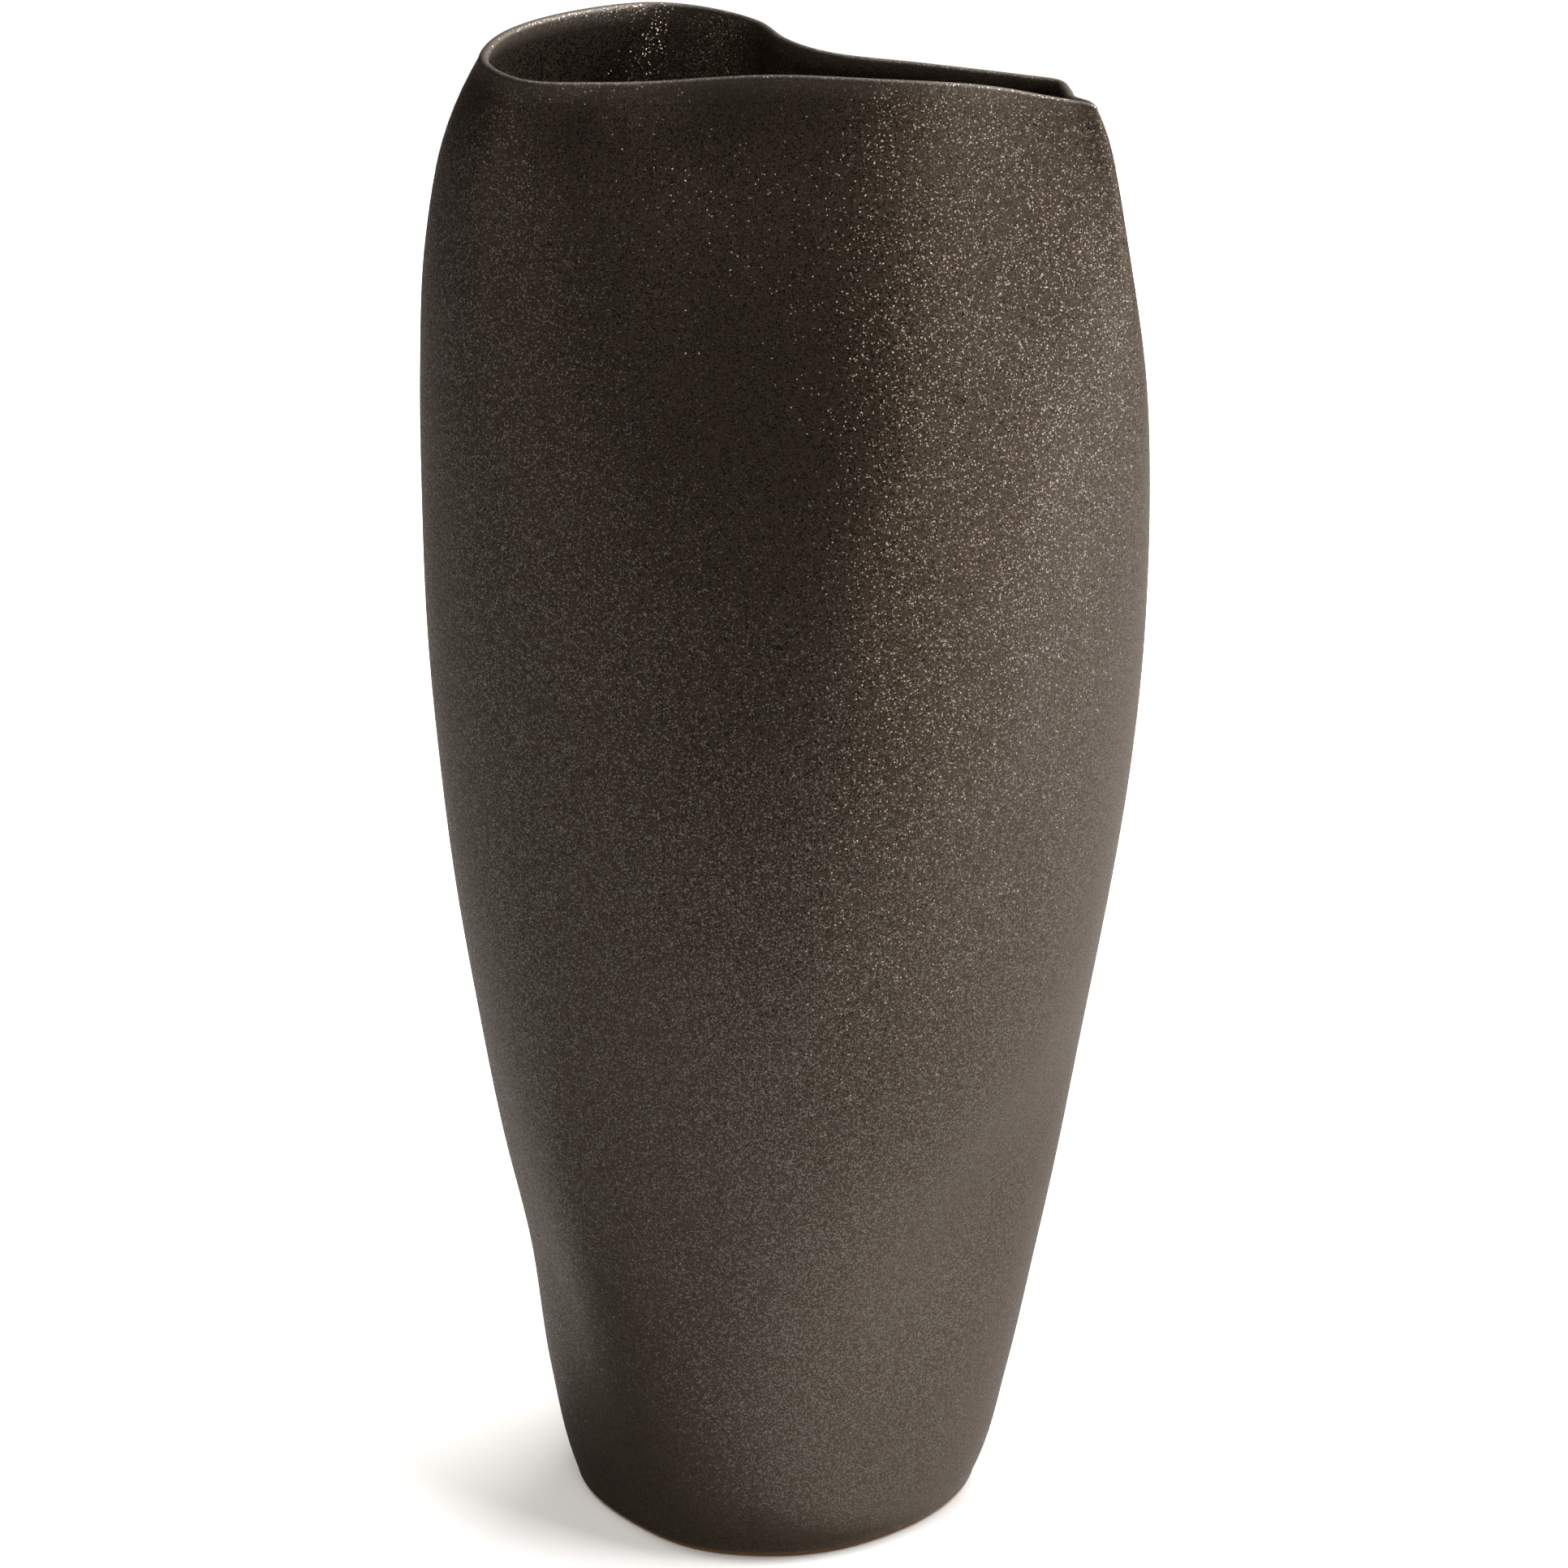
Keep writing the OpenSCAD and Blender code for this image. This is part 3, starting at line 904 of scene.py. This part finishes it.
def felt_material(finish):
    """Short grey wool felt: matted fibres with a soft sheen."""
    material, tree, shader, place = new_material("Wool felt", finish.felt)
    warp = put(tree, "ShaderNodeTexNoise", {"Vector": place, "Scale": 700.0, "Detail": 2.0}, normalize=True)
    bend = put(tree, "ShaderNodeVectorMath", {0: warp.outputs["Color"], "Scale": 0.0012}, operation="SCALE")
    fibre_place = vector_maths(tree, "ADD", place, bend.outputs[0])
    fibres = put(tree, "ShaderNodeTexNoise", {
        "Vector": fibre_place, "Scale": 2600.0, "Detail": 6.0, "Roughness": 0.75, "Distortion": 1.6})
    pale = tuple(min(1.0, c * 1.5) for c in finish.felt)
    dark = tuple(c * 0.55 for c in finish.felt)
    tone = spread(tree, fibres.outputs[0], 0.3, 0.7, 0.0, 1.0)
    tree.links.new(mixed(tree, tone, rgba(dark), rgba(pale)), shader.inputs["Base Color"])
    tree.links.new(spread(tree, tone, 0.0, 1.0, 0.98, 0.86), shader.inputs["Roughness"])
    bump = put(tree, "ShaderNodeBump", {"Height": fibres.outputs[0], "Strength": 1.0, "Distance": 0.0003})
    tree.links.new(bump.outputs[0], shader.inputs["Normal"])
    shader.inputs["Sheen Weight"].default_value = 0.4
    shader.inputs["Sheen Roughness"].default_value = 0.5
    return material


def floor_material(look):
    """Plain pale studio floor."""
    tone = (look.floor_tone, look.floor_tone, look.floor_tone)
    material, tree, shader, place = new_material("Pale studio floor", tone)
    cloud = put(tree, "ShaderNodeTexNoise", {"Vector": place, "Scale": 3.0, "Detail": 2.0})
    low = rgba(tuple(c * 0.995 for c in tone))
    tree.links.new(mixed(tree, cloud.outputs[0], low, rgba(tone)), shader.inputs["Base Color"])
    # Far from the vase the floor glows up to plain white, past the reach of the lamps
    far = put(tree, "ShaderNodeVectorMath", {0: place}, operation="LENGTH").outputs["Value"]
    glow = spread(tree, far, GLOW_FROM, GLOW_FULL, 0.0, 1.0)
    white = put(tree, "ShaderNodeCombineColor", {0: glow, 1: glow, 2: glow})
    tree.links.new(white.outputs[0], shader.inputs["Emission Color"])
    shader.inputs["Emission Strength"].default_value = 1.0
    shader.inputs["Roughness"].default_value = 0.9
    shader.inputs["Specular IOR Level"].default_value = 0.0
    return material


def bounce_material(look):
    """The floor as the vase sees it: the softboxes' light thrown back, with a little glow of its own."""
    tone = (look.bounce_tone, look.bounce_tone, look.bounce_tone)
    material, _, shader, _ = new_material("Floor bounce", tone)
    shader.inputs["Base Color"].default_value = rgba(tone)
    shader.inputs["Roughness"].default_value = 0.9
    shader.inputs["Specular IOR Level"].default_value = 0.0
    shader.inputs["Emission Color"].default_value = (1.0, 0.92, 0.80, 1.0)
    shader.inputs["Emission Strength"].default_value = look.floor_glow
    return material


def material_for(name, make, settings):
    """The named material, made at its first use."""
    return bpy.data.materials.get(name) or make(settings)


# ---------------------------------------------------------------- stage

# Soft studio lights: name, what it lights, place, width, height, power in watts, colour
LIGHTS = [
    ("key_softbox", "vase_set", (1.46, 0.84, 1.66), 0.8, 0.8, 52.0, (1.0, 1.0, 1.0)),
    ("right_softbox", "vase_set", (2.15, 0.0, 0.71), 0.8, 0.8, 6.8, (1.0, 0.95, 0.88)),
    ("front_fill", "vase_set", (1.52, -1.52, 0.71), 0.8, 0.8, 5.6, (1.0, 0.86, 0.70)),
    ("left_fill", "vase_set", (-1.79, -1.03, 1.00), 0.8, 0.8, 1.1, (1.0, 0.84, 0.64)),
    ("back_softbox", "vase_set", (0.24, 0.90, 2.24), 0.8, 0.8, 9.0, (1.0, 0.98, 0.95)),
    ("sparkle_lamp", "vase_set", (1.66, -0.29, 1.66), 0.3, 0.3, 1.6, (1.0, 1.0, 1.0)),
    ("floor_lamp_left", "stage", (-0.69, -1.19, 2.07), 1.3, 1.3, 47.0, (1.0, 0.955, 0.91)),
    ("floor_lamp_right", "stage", (1.19, -0.69, 2.07), 1.3, 1.3, 69.5, (1.0, 1.0, 1.0)),
    ("floor_lamp_back", "stage", (0.31, 0.54, 2.42), 1.3, 1.3, 77.0, (1.0, 0.985, 0.96)),
]


def aim(thing, target):
    """Turns a light or the camera to look at a point."""
    thing.rotation_euler = (Vector(target) - thing.location).to_track_quat("-Z", "Y").to_euler()


def build_lights(target):
    """The softboxes, aimed at the vase and hidden from the camera."""
    for name, receiver, place, width, height, power, colour in LIGHTS:
        lamp = bpy.data.lights.new(name, "AREA")
        lamp.shape = "RECTANGLE"
        lamp.size = width
        lamp.size_y = height
        lamp.energy = power
        lamp.color = colour
        softbox = bpy.data.objects.new(name, lamp)
        softbox.location = place
        aim(softbox, target)
        softbox.visible_camera = False
        softbox.light_linking.receiver_collection = collection(receiver)
        bpy.context.scene.collection.objects.link(softbox)


def build_sky(look):
    """Even room light, white where the camera looks past the floor."""
    world = bpy.data.worlds.new("Studio room")
    bpy.context.scene.world = world
    world.use_nodes = True
    tree = world.node_tree
    tree.nodes.clear()
    room = put(tree, "ShaderNodeBackground", {"Color": (1.0, 1.0, 1.0, 1.0), "Strength": look.sky})
    white = put(tree, "ShaderNodeBackground", {"Color": (1.0, 1.0, 1.0, 1.0), "Strength": 1.0})
    seen = tree.nodes.new("ShaderNodeLightPath").outputs["Is Camera Ray"]
    mix = put(tree, "ShaderNodeMixShader", {0: seen, 1: room.outputs[0], 2: white.outputs[0]})
    output = tree.nodes.new("ShaderNodeOutputWorld")
    tree.links.new(mix.outputs[0], output.inputs["Surface"])


def build_disc(name, radius, material, home, drop=0.0):
    """A round sheet on the table plane, or a little under it."""
    rings = 6
    columns = 96
    turn_to = np.arange(columns) * 2 * math.pi / columns
    loops = [
        np.stack([np.cos(turn_to), np.sin(turn_to), 0 * turn_to], axis=1) * radius * k / rings
        for k in range(1, rings + 1)
    ]
    points = np.concatenate([[[0.0, 0.0, 0.0]], *loops]) - [0.0, 0.0, drop]
    faces = [tuple(f) for f in swept_faces(rings, columns, False)[:, ::-1] + 1]
    faces += [(0, 1 + c, 1 + (c + 1) % columns) for c in range(columns)]
    return new_piece(name, points, faces, material, home=home)


def build_floors(look):
    """The pale floor that the camera sees, and its twin that only the vase sees."""
    pale = material_for("Pale studio floor", floor_material, look)
    floor = build_disc("studio_floor", FLOOR_RADIUS, pale, "stage")
    thrown = material_for("Floor bounce", bounce_material, look)
    bounce = build_disc("floor_bounce", BOUNCE_RADIUS, thrown, "vase_set", drop=BOUNCE_DROP)
    bounce.visible_camera = False
    floor.visible_diffuse = False
    floor.visible_glossy = False
    floor.visible_shadow = False
    return [floor, bounce]


def build_camera(look):
    """The camera, in front of the vase and above it."""
    data = bpy.data.cameras.new("camera")
    data.lens = look.lens
    camera = bpy.data.objects.new("camera", data)
    target = Vector((MIDDLE[0] * MM, MIDDLE[1] * MM, look.aim_height))
    back = Vector((0.0, -math.cos(look.elevation), math.sin(look.elevation)))
    camera.location = target + back * look.distance
    aim(camera, target)
    bpy.context.scene.collection.objects.link(camera)
    bpy.context.scene.camera = camera
    return target


# ---------------------------------------------------------------- operators and panel

class VASE_OT_wall(Operator):
    """Build the glazed, folded wall of the vase"""

    bl_idname = "vase.wall"
    bl_label = "Glazed wall"

    def execute(self, context):
        scene = context.scene
        glaze = material_for("Bronze mica glaze", glaze_material, scene.vase_finish)
        piece = build_wall(scene.vase_wall, glaze)
        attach(piece, "root")
        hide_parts("wall")
        return {"FINISHED"}


class VASE_OT_floor(Operator):
    """Build the glazed floor inside the foot"""

    bl_idname = "vase.floor"
    bl_label = "Glazed floor"

    def execute(self, context):
        scene = context.scene
        glaze = material_for("Bronze mica glaze", glaze_material, scene.vase_finish)
        piece = build_floor(scene.vase_wall, scene.vase_foot, glaze)
        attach(piece, "root")
        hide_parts("floor_slab")
        return {"FINISHED"}


class VASE_OT_foot_ring(Operator):
    """Build the bare clay foot ring"""

    bl_idname = "vase.foot_ring"
    bl_label = "Foot ring"

    def execute(self, context):
        scene = context.scene
        clay = material_for("Bare stoneware", clay_material, scene.vase_finish)
        piece = build_foot_ring(scene.vase_wall, scene.vase_foot, clay)
        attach(piece, "root")
        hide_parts("foot_ring")
        return {"FINISHED"}


class VASE_OT_felt_pads(Operator):
    """Build the four felt pads under the foot ring"""

    bl_idname = "vase.felt_pads"
    bl_label = "Felt pads"

    def execute(self, context):
        felt = material_for("Wool felt", felt_material, context.scene.vase_finish)
        for seed, node in enumerate(PADS, start=21):
            piece = build_felt_pad(node, seed, felt)
            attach(piece, "root")
            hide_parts(node)
        return {"FINISHED"}


class VASE_OT_stage(Operator):
    """Build the pale floor, the soft lights and the camera"""

    bl_idname = "vase.stage"
    bl_label = "Stage"

    def execute(self, context):
        look = context.scene.vase_stage
        target = build_camera(look)
        build_lights(target)
        build_sky(look)
        build_floors(look)
        context.scene.view_settings.view_transform = "Standard"
        return {"FINISHED"}


class VASE_PT_panel(Panel):
    """Sizes, finishes and the pieces of the vase"""

    bl_label = "Stoneware vase"
    bl_idname = "VASE_PT_panel"
    bl_space_type = "VIEW_3D"
    bl_region_type = "UI"
    bl_category = "Vase"

    def draw(self, context):
        for group, steps in PARTS.items():
            box = self.layout.box()
            settings = getattr(context.scene, group)
            for name in settings.__annotations__:
                box.prop(settings, name)
            for step in steps:
                box.operator(step)


# Settings on the scene, and the operators that use them, in building order
PARTS = {
    "vase_stage": ["vase.stage"],
    "vase_wall": ["vase.wall"],
    "vase_foot": ["vase.floor", "vase.foot_ring", "vase.felt_pads"],
    "vase_finish": [],
}
SETTINGS = {
    "vase_stage": VaseStageLook,
    "vase_wall": VaseWallSizes,
    "vase_foot": VaseFootSizes,
    "vase_finish": VaseFinish,
}
OPERATORS = [VASE_OT_stage, VASE_OT_wall, VASE_OT_floor, VASE_OT_foot_ring, VASE_OT_felt_pads]
CLASSES = [*SETTINGS.values(), *OPERATORS, VASE_PT_panel]


def register():
    for each in CLASSES:
        bpy.utils.register_class(each)
    for name, group in SETTINGS.items():
        setattr(bpy.types.Scene, name, PointerProperty(type=group))


def unregister():
    for name in SETTINGS:
        delattr(bpy.types.Scene, name)
    for each in reversed(CLASSES):
        bpy.utils.unregister_class(each)


def main():
    """Builds the stage and every piece."""
    register()
    bpy.ops.vase.stage()
    bpy.ops.vase.wall()
    bpy.ops.vase.floor()
    bpy.ops.vase.foot_ring()
    bpy.ops.vase.felt_pads()


if __name__ == "__main__":
    main()
